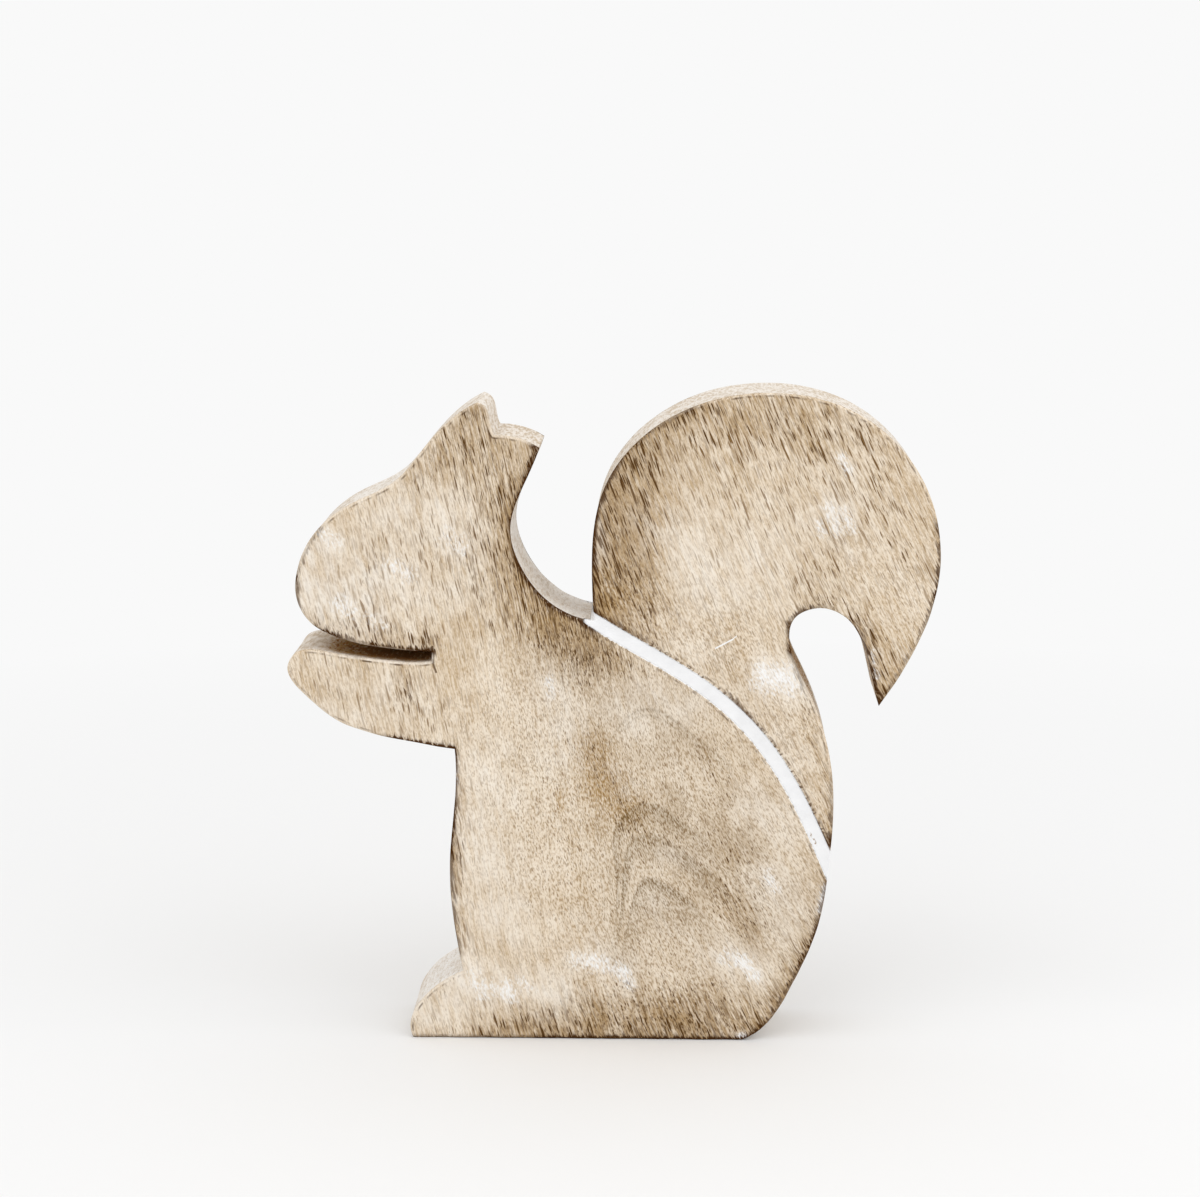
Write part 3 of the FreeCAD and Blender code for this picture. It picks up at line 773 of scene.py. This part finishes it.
# Body: head, forepaws, trunk, haunch and foot in one piece. A lean is (across, up, degrees), and
# a stroke or scratch is (start across, start up, end across, end up, reach, strength or finish).
bodyLook = {
    "name": "body_board",
    "slot": "body_wood",
    "seed": 11,
    "poreStrength": 1.0,
    "poreLength": 0.95,
    "rimLine": 0.55,
    # How dark the line beside the joint is: dirt and painted shadow
    "jointShadowAndDirt": 0.3,
    "leans": [(12, 105, 15), (35, 130, 12), (50, 135, 14), (30, 100, 11), (50, 110, 12), (55, 85, 10),
              (20, 78, 13), (45, 60, 9), (45, 30, 9), (35, 5, 15), (60, 5, 18), (95, 5, 20),
              (75, 75, 16), (75, 45, 13), (95, 55, 22), (105, 35, 28), (115, 20, 32), (115, 50, 30)],
    "arch": {"middle": 82.0, "rightSlope": 0.85},
    # On the faces these strokes are dark stain; the strokes on the sawn edges below are painted shade as
    # well
    "smokeAndShade": [
        (57, 137, 52, 124, 4.5, 0.7), (51.5, 122, 52.5, 110, 4.5, 0.5), (53, 112, 61, 100, 6, 0.42),
        (60, 99, 69, 92, 6, 0.85), (60, 94, 66, 88, 5.5, 0.45), (30, 129, 43, 145, 3, 0.5),
        (43, 145, 46, 139, 3, 0.45), (41, 137, 48, 130, 9, 0.38), (8, 96.5, 33, 93, 2.5, 0.6),
        (20, 112, 21, 97, 1.6, 0.3), (26, 86, 29, 77, 2.5, 0.3), (43, 112, 50, 100, 6, 0.36),
        (38, 62, 38.5, 20, 1.4, 0.35), (13, 70, 37, 68, 1.5, 0.5), (37, 50, 38, 36, 2, 0.55),
        (44, 1, 58, 1, 3, 0.4), (46, 2, 56, 3, 3.5, 0.35), (54, 3, 68, 5, 4.5, 0.38),
        (30, 1, 44, 1, 1.5, 0.2), (58, 1, 106, 1, 4.5, 0.65), (72, 5, 94, 6, 7, 0.52),
        (106, 3, 113, 10, 4.5, 0.65), (113, 10, 121, 26, 3.5, 0.6), (121, 28, 122.5, 37, 2, 0.35),
        (105, 30, 106.5, 24, 2.6, 0.3), (105.2, 43.2, 105.4, 42.6, 1.2, 0.5), (69, 92, 80, 86, 3, 0.45),
        (39, 17, 33, 9, 1.2, 0.3), (78, 51, 88, 47, 4, 0.3), (100, 47, 108, 36, 5, 0.25),
        (66, 9, 104, 9, 5, 0.25), (88, 8, 93, 5, 4, 0.4), (69, 68, 77, 55, 5, 0.35),
        (101, 31, 106, 27, 3.5, 0.5), (98, 38, 102, 34, 3, 0.35), (95, 67, 101, 60, 4, 0.25),
        (80, 8, 84, 5, 2.5, 0.3), (66, 74, 70, 70, 4, 0.2),
    ],
    "honey": [
        (69, 69, 72, 62, 5, 0.8), (73, 60, 77, 55, 4, 0.75), (61, 69, 61, 69, 1.5, 0.6),
        (61.5, 58, 62, 55, 1.2, 0.7), (52, 118, 60, 99, 7, 0.5), (39, 30, 40, 22, 2.5, 0.3),
        (40, 55, 44, 48, 5, 0.15), (84, 6, 90, 4, 3, 0.35),
    ],
    "grey": [
        (92, 62, 100, 35, 20, 0.6), (75, 75, 90, 72, 9, 0.4), (60, 92, 75, 82, 8, 0.4),
        (105, 40, 115, 25, 10, 0.3), (102, 52, 110, 42, 8, 0.3), (78, 40, 78, 20, 7, 0.35),
    ],
    "hazeAndLight": [
        (10, 105, 20, 108, 9.5, 0.9), (5, 112, 16, 104, 8, 0.95), (31, 6, 37, 12, 5, 0.7),
        (25, 125, 35, 122, 8, 0.6), (35, 105, 42, 112, 8, 0.4), (60, 82, 62, 70, 8, 0.6),
        (44, 64, 48, 25, 10, 0.65), (12, 80, 25, 80, 7, 0.5), (110, 38, 114, 30, 6, 0.5),
        (82, 82, 90, 79, 5, 0.7), (99, 21, 106, 17, 5, 0.5), (106, 56, 113, 51, 5, 0.6),
        (74, 64, 77, 60, 3, 0.5), (75, 78, 79, 74, 4, 0.5), (67, 29, 71, 22, 4, 0.5),
        (85, 44, 92, 43, 2.5, 0.4), (84, 33, 86, 27, 2.5, 0.3), (42, 12, 60, 11, 6, 0.8),
        (66, 18.5, 80, 19.5, 3, 0.25), (84, 30, 92, 22, 7, 0.2),
    ],
    "chalk": [
        (11.8, 102.5, 14.6, 100.4, 1.8, 0.5), (19, 99, 21.6, 97, 1.6, 0.35),
        (24, 111, 28, 108.6, 2, 0.42), (8.6, 118, 11.8, 116, 1.6, 0.4), (37, 117.6, 40, 115, 2.2, 0.3),
        (59.4, 85, 60.2, 81.5, 1.3, 0.5), (65.5, 19, 70, 18, 2, 0.42), (70, 19, 76, 16, 1.8, 0.5),
        (76.4, 17, 78, 13, 1.2, 0.6), (41.8, 15, 43.6, 10.4, 1.6, 0.5), (45.5, 13, 49, 11, 1.6, 0.42),
        (49.6, 13.4, 51, 9.6, 1.3, 0.5), (53, 14, 55, 12, 1.4, 0.35), (100, 20, 104, 19, 2, 0.42),
        (103.8, 19, 106.6, 15.4, 1.5, 0.6), (109.5, 39.5, 111, 36.5, 1.4, 0.45),
        (103.2, 1.2, 104.6, 1, 0.5, 1), (37.8, 67, 38.2, 61, 0.7, 0.5), (122.6, 37, 121.4, 31, 0.6, 0.7),
    ],
    "shortPores": [
        (48, 76, 46, 62, 10, 0.25), (62, 78, 60, 45, 14, 0.8), (85, 65, 85, 25, 24, 0.98),
        (60, 90, 70, 88, 8, 0.6), (105, 50, 112, 35, 12, 0.6),
    ],
    "open": [
        (12, 100, 22, 118, 9, 0.55), (30, 112, 45, 118, 12, 0.5), (42, 138, 50, 126, 9, 0.9),
        (50, 118, 58, 100, 8, 0.8), (16, 99, 33, 95, 4.5, 0.8), (10, 84, 34, 76, 8, 0.6),
        (26, 86, 30, 76, 4, 0.7), (35, 115, 48, 98, 8, 0.5), (48, 78, 42, 60, 7, 0.25),
        (44, 3, 110, 3, 6, 0.85), (30, 3, 44, 3, 4, 0.35), (117, 22, 122, 40, 7, 0.7),
        (39, 60, 40, 20, 3.5, 0.6), (60, 97, 72, 88, 8, 0.8), (62, 75, 66, 50, 7, 0.45),
    ],
    "rings": [
        (78, 77, 86, 76, 6, 0.95), (88, 75, 97, 66, 4, 0.6), (77, 52, 86, 52, 7, 0.95),
        (76, 38, 90, 36, 8, 0.9), (92, 42, 97, 36, 3, 0.25), (75, 34, 77, 20, 3.5, 0.5),
        (92, 14, 98, 6, 5, 0.6), (84, 30, 88, 26, 5, 0.5),
    ],
    # Along the top edges and the slot's lower edge and blind end: sanded pale, with a painted highlight
    "paleAndHighlight": [
        (54, 107, 67, 98, 2.5, 0.7), (12, 122, 30, 129, 3, 0.4), (30, 129, 46, 147, 4, 0.3),
        (47, 141, 57, 138, 3, 0.5), (14, 89.8, 33, 88.6, 1.6, 1), (33.2, 91, 33.2, 88.4, 0.8, 1),
        (27.5, 3, 38, 16, 3, 0.4),
    ],
    # Dark lines where the saw scorched the arris; along the shaded lower and right-hand edges, at the
    # base and in the slot they are painted shade as well
    "scorchAndShade": [
        (9, 95.6, 20, 93.4, 1.3, 0.55), (20, 93.4, 34, 91.4, 1.3, 0.8), (57, 137, 52, 124, 1.1, 0.8),
        (56.6, 136.6, 55.4, 134, 1.8, 1), (51.5, 122, 53, 110, 1.3, 1), (53, 110, 60, 101, 1.3, 0.75),
        (60, 101, 69, 97, 2, 0.7), (28, 0, 58, 0, 0.8, 0.5), (58, 0, 106, 0, 1.2, 1),
        (106, 0, 121, 26, 1.6, 0.7), (121, 28, 123, 37, 1.5, 0.5), (13, 70, 24, 70.8, 1.2, 0.5),
        (24, 70.8, 37.9, 68.4, 1.2, 0.85), (7, 96, 16, 91, 1.2, 0.6), (3, 98, 2.6, 108, 0.9, 0.5),
        (2.6, 108, 8, 119, 0.9, 0.4), (30, 129, 43, 145, 0.9, 0.5), (37.9, 68, 37.2, 45, 1.1, 0.75),
        (36.8, 45, 38.2, 20, 1, 0.5),
    ],
    "onEdges": {
        # Painted shade deep inside the slot, with some stain
        "deepShadeAndStain": [(20, 90, 34, 90, 4, 0.9), (13, 91, 20, 91, 3, 0.5)],
        # Dark edge lines in the slot, at the neck and along the base: scorch and painted shade
        "scorchAndShade": [
            (24, 93, 34, 92, 0.8, 0.7), (57, 137, 52, 124, 1.6, 0.6), (51.5, 122, 53, 110, 2, 0.5),
            (28, 0, 106, 0, 1, 0.8),
        ],
        # On the edges, the smoke inside the slot and under the arm is painted shade as well as stain
        "smokeAndShade": [(14, 68, 37, 66, 3, 0.3), (12, 91.5, 30, 90, 4, 0.95)],
        "chalk": [
            (32.7, 90, 32.7, 89.4, 0.7, 1), (36, 14, 32, 9, 3, 0.5), (122.7, 38, 121.5, 31, 1.4, 0.6),
            (15, 128, 25, 131, 4, 0.3), (52, 118, 66, 99, 4, 0.45),
        ],
        # Painted light on the sawn edges: the top of the head, the foot, the slot's mouth and the nape in
        # the tail's shade
        "hazeAndLight": [
            (5, 115, 44, 148, 8, 0.75), (30, 5, 38, 16, 6, 0.9), (0, 90, 6, 90, 3.5, 0.5),
            (50, 120, 66, 100, 7, 1.2),
        ],
    },
    "scratches": [(33.1, 92.2, 33.2, 88.6, 0.4, "scorchAndShade"), (33.3, 88.2, 33.9, 86.4, 0.3, "poreInStain")],
    "chalkBehind": [
        (40, 112, 46, 106, 2.6, 0.5), (70, 40, 76, 37, 3, 0.5), (95, 60, 99, 57, 2, 0.45),
        (30, 88, 34, 80, 2, 0.4), (52, 9, 62, 11, 2.4, 0.5),
    ],
}

tailLook = {
    "name": "tail_board",
    "slot": "tail_wood",
    "seed": 31,
    "poreStrength": 1.05,
    "poreLength": 1.0,
    "rimLine": 0.6,
    # How dark the line beside the joint is: dirt and painted shadow
    "jointShadowAndDirt": 0.75,
    "leans": [(75, 130, 20), (75, 105, 18), (95, 140, 20), (100, 115, 22), (120, 140, 24), (130, 125, 26),
              (140, 105, 27), (130, 85, 24), (110, 95, 22), (95, 85, 24), (112, 75, 24), (120, 55, 25)],
    "arch": {"middle": 100.0, "rightSlope": 0.8},
    "smokeAndShade": [
        (69.5, 101, 69.5, 120, 5, 0.8), (69.8, 120, 76, 137, 6, 0.75), (77, 124, 77, 104, 9, 0.8),
        (76, 138, 92, 148, 5, 0.65), (90, 147, 112, 150, 8, 0.27), (112, 150, 130, 146, 8, 0.28),
        (90, 138, 112, 140, 9, 0.1), (104, 144, 108, 139, 2, 0.35), (114, 144, 120, 136, 2.4, 0.4),
        (128, 143, 140, 131, 4, 0.12), (116, 101, 124, 104, 2, 0.2), (124, 105, 131, 98, 2.5, 0.1),
        (123, 110, 125, 105, 1.6, 0.3), (129, 98, 133.5, 80, 2.5, 0.7), (118, 107, 120, 103, 1.6, 0.25),
        (113.5, 98, 114, 92, 1.4, 0.5), (114, 92, 122, 62, 1.2, 0.3), (122, 62, 123.8, 47, 1.2, 0.4),
        (70, 100, 82, 92, 3.5, 0.35), (132, 96, 135, 81, 4.5, 0.45), (136, 119, 140, 112, 2, 0.3),
    ],
    "honey": [
        (136, 137, 146, 112, 4, 0.12), (74, 106, 80, 122, 9, 0.75), (90, 142, 105, 140, 6, 0.1),
        (133, 84, 140, 92, 6, 0.25), (119, 60, 122, 50, 4, 0.2),
    ],
    "grey": [(75, 128, 88, 138, 8, 0.35), (100, 80, 112, 62, 8, 0.25)],
    "hazeAndLight": [
        (82, 118, 95, 112, 10, 0.5), (98, 108, 110, 112, 9, 0.5), (122, 124, 128, 118, 7, 0.5),
        (112, 70, 116, 58, 6, 0.4), (84, 96, 96, 88, 6, 0.3), (71, 126, 71, 112, 1.5, 0.6),
    ],
    "chalk": [
        (108.2, 86.5, 112.5, 86, 2.6, 0.8), (113.5, 84.5, 115, 83, 1.8, 0.55),
        (107, 83, 110, 82.5, 1.8, 0.35), (124.8, 136, 126.4, 132.6, 1, 0.6),
        (122.2, 125, 124.4, 119, 1.2, 0.55), (125.6, 124, 127.6, 119.5, 1.1, 0.5),
        (120, 121, 121, 118.4, 1, 0.4), (132.5, 92, 133.6, 86, 0.5, 0.5),
    ],
    "shortPores": [
        (100, 95, 112, 80, 12, 0.5), (90, 92, 75, 104, 8, 0.4), (115, 70, 120, 55, 8, 0.4),
        (130, 112, 140, 100, 8, 0.35),
    ],
    "open": [
        (72, 105, 80, 138, 9, 0.9), (85, 142, 130, 138, 9, 0.9), (100, 130, 125, 120, 12, 0.6),
        (130, 130, 143, 110, 9, 0.7), (120, 108, 134, 85, 9, 0.9), (95, 110, 100, 100, 12, 0.4),
        (112, 75, 120, 55, 7, 0.5), (80, 100, 95, 92, 7, 0.5),
    ],
    # Along the tail's top edges: sanded pale, with a painted highlight
    "paleAndHighlight": [(88, 145, 110, 149, 3, 0.3), (110, 149, 136, 139, 3, 0.4), (133, 82, 131, 96, 1.2, 0.5)],
    # Dark lines where the saw scorched the arris; beside the joint, in the crook and along the lower
    # right edges they are painted shade as well
    "scorchAndShade": [
        (69.5, 101, 69.5, 122, 1.2, 0.8), (69.8, 122, 76, 137, 1.2, 0.6), (76, 137, 92, 147, 1, 0.35),
        (146.5, 120, 147, 105, 1.4, 0.6), (147, 105, 134, 80, 1.4, 0.5), (131, 100, 124, 105, 1, 0.65),
        (124, 105, 115, 100, 1.2, 0.6), (113.8, 98, 114.2, 92, 1.2, 0.6),
        (114.2, 92, 122.5, 62, 0.9, 0.4), (122.5, 62, 124, 47, 1.4, 0.5), (131, 99, 134, 80, 1.2, 0.7),
        (70, 100, 97, 88, 1.2, 0.45), (97, 88, 123.5, 47, 1.2, 0.5),
    ],
    "onEdges": {
        # Painted shade on the edge under the tail's crook
        "deepShadeAndStain": [(113.6, 97, 124, 50, 2, 0.35)],
        # Dark lines on the edges under the crook and on the lower right: scorch and painted shade
        "scorchAndShade": [(113.8, 96, 122.5, 62, 1.4, 0.55), (147, 108, 134, 80, 1.4, 0.4)],
        # On the edges, the smoke under the tail's crook is painted shade as well as stain
        "smokeAndShade": [(114, 100, 113, 92, 3, 0.4), (114, 92, 124, 50, 3, 0.6), (129, 97, 133, 82, 3, 0.3)],
        # Painted light on the tail's top edges
        "hazeAndLight": [(75, 138, 105, 150, 12, 0.7), (105, 150, 140, 135, 12, 0.7)],
    },
    "scratches": [(97.3, 92.3, 101, 94.3, 0.24, "chalk"), (101, 94.3, 101.9, 95.1, 0.13, "chalk")],
    "chalkBehind": [
        (90, 120, 96, 117, 3, 0.6), (130, 100, 134, 97, 2.2, 0.5), (104, 140, 108, 139, 1.6, 0.5),
    ],
}

for nodeName, look in (("body", bodyLook), ("tail", tailLook)):
    board = buildBoard(nodeName, look)
    board.data.materials.append(boardWood(nodeName + "_washed_mango", look))
    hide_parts(nodeName)
    print(board.name, "points", len(board.data.vertices), "faces", len(board.data.polygons))


# The white filler in the joint: the outline of an I, laid through the board and carried along the
# joint. Its places are read between the two sides of the wide plate and of the thin web, and its
# two ends follow the sawn edge of the board.
seamDetail = {
    "plateEnds": ((67.15, 98.1), (69.6, 100.4), (123.8, 45.0), (123.1, 38.4)),
    "webEnds": ((68.8, 98.5), (69.7, 98.9), (123.5, 42.5), (123.4, 40.9)),
    "stations": 190,
    "columns": 16,
    "surface": 12.36,  # from the middle of the board to the top of the filler
    "hollow": 0.05,
    "unevenness": 0.035,
    "unevenReach": 3.0,
    "endFade": 0.05,  # share of the length over which an end's outline fades out
    "endRounding": 0.45,
    "endRoundingReach": 0.9,
    "brushSlope": 35,  # degrees
    "nick": (119.2, 49.2, 120.5, 46.8),
    "nickWidth": 0.4,
}


# One layer of the seam: rows of points from its lower to its upper side, one row per station.
# The two sides are read evenly along their lengths, the rows are straight between them, and near
# each end the bend of that end's outline is added, fading inwards.
def seamLayer(depth, ends):
    detail = seamDetail
    outline = slicedOutline("white_seam", depth)
    marks = [np.linalg.norm(outline - np.array(end), axis=1).argmin() for end in ends]
    outline = np.roll(outline, -marks[0], axis=0)
    neckUpper, exitUpper, exitLower = [(marks[0] - mark) % len(outline) for mark in marks[1:]]
    backwards = np.vstack([outline[:1], outline[:0:-1], outline[:1]])
    neck = backwards[:neckUpper + 1]
    upper = backwards[neckUpper:exitUpper + 1]
    leaving = backwards[exitUpper:exitLower + 1][::-1]
    lower = backwards[exitLower:][::-1]
    lower, upper = readEvenly(lower, detail["stations"]), readEvenly(upper, detail["stations"])
    across = np.linspace(0, 1, detail["columns"])[None, :, None]
    rows = lower[:, None] * (1 - across) + upper[:, None] * across
    along = np.linspace(0, 1, detail["stations"])
    for end, chain, way in ((0, neck, along), (-1, leaving, 1 - along)):
        bend = readEvenly(chain, detail["columns"]) - rows[end]
        rows = rows + bend * (np.clip(1 - way / detail["endFade"], 0, 1) ** 2)[:, None, None]
    return rows


def buildSeam():
    detail = seamDetail
    plate = seamLayer(outlineDetail["wideDepth"], detail["plateEnds"])
    web = seamLayer(outlineDetail["thinDepth"], detail["webEnds"])
    stations, columns = plate.shape[:2]
    floorDepth = wallDetail["grooveFloor"]
    across = np.linspace(-1, 1, columns)
    along = lengthsAlong(plate.mean(axis=1))
    rise = smoothRise(np.minimum(along, along[-1] - along), 0, detail["endRoundingReach"])
    endDrop = detail["endRounding"] * (1 - rise) ** 2

    def layer(rows, depth):
        return np.dstack([rows[..., 0], np.broadcast_to(depth, rows.shape[:2]), rows[..., 1]])

    def top(side):
        lift = waviness(plate.reshape(-1, 2), detail["unevenReach"], 5 + side)
        lift = lift.reshape(stations, columns)
        depth = detail["surface"] - detail["hollow"] * (1 - across ** 2) - endDrop[:, None]
        return layer(plate, side * (depth + detail["unevenness"] * (lift - 1) / 2))

    # The I, once round: front plate, web, back plate, web
    profile = []
    for side, column in ((-1, slice(columns - 1, columns)), (1, slice(0, 1))):
        profile.append(top(side)[:, ::-side])
        for rows, depthSide in ((plate, side), (web, side), (web, -side), (plate, -side)):
            profile.append(layer(rows[:, column], depthSide * floorDepth))
    points = np.concatenate(profile, axis=1)
    around = points.shape[1]
    numbers = np.arange(stations * around).reshape(stations, around)
    here, after = numbers[:-1], numbers[1:]
    sides = np.stack([here, np.roll(here, -1, axis=1), np.roll(after, -1, axis=1), after], axis=-1)
    caps = np.stack([numbers[0][::-1], numbers[-1]])
    points = points.reshape(-1, 3)
    return makePiece("white_filler", points, [sides.reshape(-1, 4), caps], {})


def fillerWhite():
    material, place = newMaterial("white_filler")
    clouds = rescaled(noise(place, (0.004,) * 3, 4), 0.3, 0.7)
    colour = blended(clouds, paint(229, 229, 230), paint(238, 238, 239))
    nick = scored(place, seamDetail["nick"], seamDetail["nickWidth"])
    nick = scaled(nick, rescaled(noise(place, (0.0006,) * 3), 0.45, 0.55))
    colour = blended(nick, colour, paint(150, 122, 88))
    grain = noise(turned(place, seamDetail["brushSlope"]), (0.0022, 0.0005, 0.0005), 3)
    inputs = {"Base Color": colour, "Roughness": 0.62, "Specular IOR Level": 0.35}
    return shaded(material, grain, 0.6, 0.00015, inputs)


seam = buildSeam()
seam.data.materials.append(fillerWhite())
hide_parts("white_seam")
print(seam.name, "points", len(seam.data.vertices), "faces", len(seam.data.polygons))


# Beech of the two dowels, which nobody sees until the tail comes off
dowelLean = 46  # degrees from upright


def dowelBeech():
    material, place = newMaterial("dowel_beech")
    along = turned(place, dowelLean)
    streaks = noise(along, (0.0006, 0.0006, 0.008), 3)
    flecks = pores(along, (0.0009, 0.0009, 0.003), 0.1, 0.4, 1)
    colour = blended(rescaled(streaks, 0.35, 0.65), paint(206, 172, 132), paint(226, 198, 162))
    colour = blended(scaled(flecks, 0.5), colour, paint(158, 112, 74))
    return shaded(material, streaks, 0.4, 0.0001, {"Base Color": colour, "Roughness": 0.6})


beech = dowelBeech()
for nodeName in ("upper_dowel", "lower_dowel"):
    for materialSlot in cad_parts[nodeName].material_slots:
        materialSlot.material = beech
print("dowels in beech")

# The camera stands a little to the right of the figure and looks down at it
cameraDetail = {
    "lens": 85.5,
    "place": (0.01536, -0.6453, 0.2129),
    "tilt": 80.2,
    "turn": 1.63,
    "sensorWidth": 36,
    "clipStart": 0.01,
}
camera = bpy.data.objects.new("camera", bpy.data.cameras.new("camera"))
camera.data.lens = cameraDetail["lens"]
camera.data.sensor_fit = "HORIZONTAL"
camera.data.sensor_width = cameraDetail["sensorWidth"]
camera.data.clip_start = cameraDetail["clipStart"]
camera.location = cameraDetail["place"]
tilt, turn = math.radians(cameraDetail["tilt"]), math.radians(cameraDetail["turn"])
camera.rotation_euler = Euler((tilt, 0, turn))
bpy.context.scene.collection.objects.link(camera)
bpy.context.scene.camera = camera

# Soft studio light: a large lamp from the upper left, one overhead and a weak one from the right
lampAim = Vector((0, 0, 0.07))
lampDetail = {
    "keyLamp": {"place": (-0.6, -0.75, 0.9), "size": 1.3, "watts": 3.8, "colour": (1, 0.99, 0.97)},
    "topLamp": {"place": (0.0, 0.05, 1.1), "size": 1.6, "watts": 3.0, "colour": (1, 1, 1)},
    "fillLamp": {"place": (0.8, -0.45, 0.6), "size": 1.2, "watts": 3.8, "colour": (0.98, 0.99, 1)},
}
for lampName, detail in lampDetail.items():
    lamp = bpy.data.objects.new(lampName, bpy.data.lights.new(lampName, "AREA"))
    lamp.data.size = detail["size"]
    lamp.data.energy = detail["watts"]
    lamp.data.color = detail["colour"]
    lamp.location = detail["place"]
    lamp.rotation_euler = (lampAim - lamp.location).to_track_quat("-Z", "Y").to_euler()
    bpy.context.scene.collection.objects.link(lamp)

# The room: what lights the figure, and the paler colour that the camera and reflections see
roomDetail = {
    "light": 0.84,
    "background": paint(249, 249, 249),
    "floorColour": paint(233, 233, 233),
    "floorRadius": 14.0,
    "floorSides": 96,
    "fadeStart": 0.12,
    "fadeEnd": 0.5,
}


# 1 for rays that come from the camera, a mirror or a glass
def seenDirectly(tree):
    path = addNode("LightPath", tree=tree).outputs
    seen = calc("MAXIMUM", path["Is Camera Ray"], path["Is Glossy Ray"])
    return calc("MAXIMUM", seen, path["Is Transmission Ray"])


world = bpy.data.worlds.new("studio")
bpy.context.scene.world = world
world.use_nodes = True
tree = world.node_tree
tree.nodes.clear()
level = added(seenDirectly(tree), 1 - roomDetail["light"], roomDetail["light"])
background = addNode("Background", {"Color": roomDetail["background"], "Strength": level})
addNode("OutputWorld", {0: background.outputs[0]})


# The floor is a round sheet. Far away, what the camera sees of it turns into the background.
def buildFloor():
    sides = roomDetail["floorSides"]
    angles = np.linspace(0, 2 * np.pi, sides, endpoint=False)
    rim = np.column_stack([np.cos(angles), np.sin(angles), np.zeros(sides)])
    mesh = bpy.data.meshes.new("floor")
    mesh.from_pydata((rim * roomDetail["floorRadius"]).tolist(), [], [list(range(sides))])
    floor = bpy.data.objects.new("floor", mesh)
    bpy.context.scene.collection.objects.link(floor)
    material, place = newMaterial("floor_paper")
    tree = material.node_tree
    sheet = addNode("BsdfDiffuse", {"Color": roomDetail["floorColour"]}, tree).outputs[0]
    glow = addNode("Emission", {"Color": roomDetail["background"], "Strength": 1.0}, tree).outputs[0]
    away = addNode("VectorMath", {0: place}, operation="LENGTH").outputs["Value"]
    fade = rescaled(away, roomDetail["fadeStart"], roomDetail["fadeEnd"])
    fade = scaled(fade, seenDirectly(tree))
    surface = addNode("MixShader", {0: fade, 1: sheet, 2: glow}).outputs[0]
    addNode("OutputMaterial", {0: surface})
    mesh.materials.append(material)
    return floor


buildFloor()
bpy.context.scene.view_settings.view_transform = "Standard"
print("camera, lamps and floor in place")
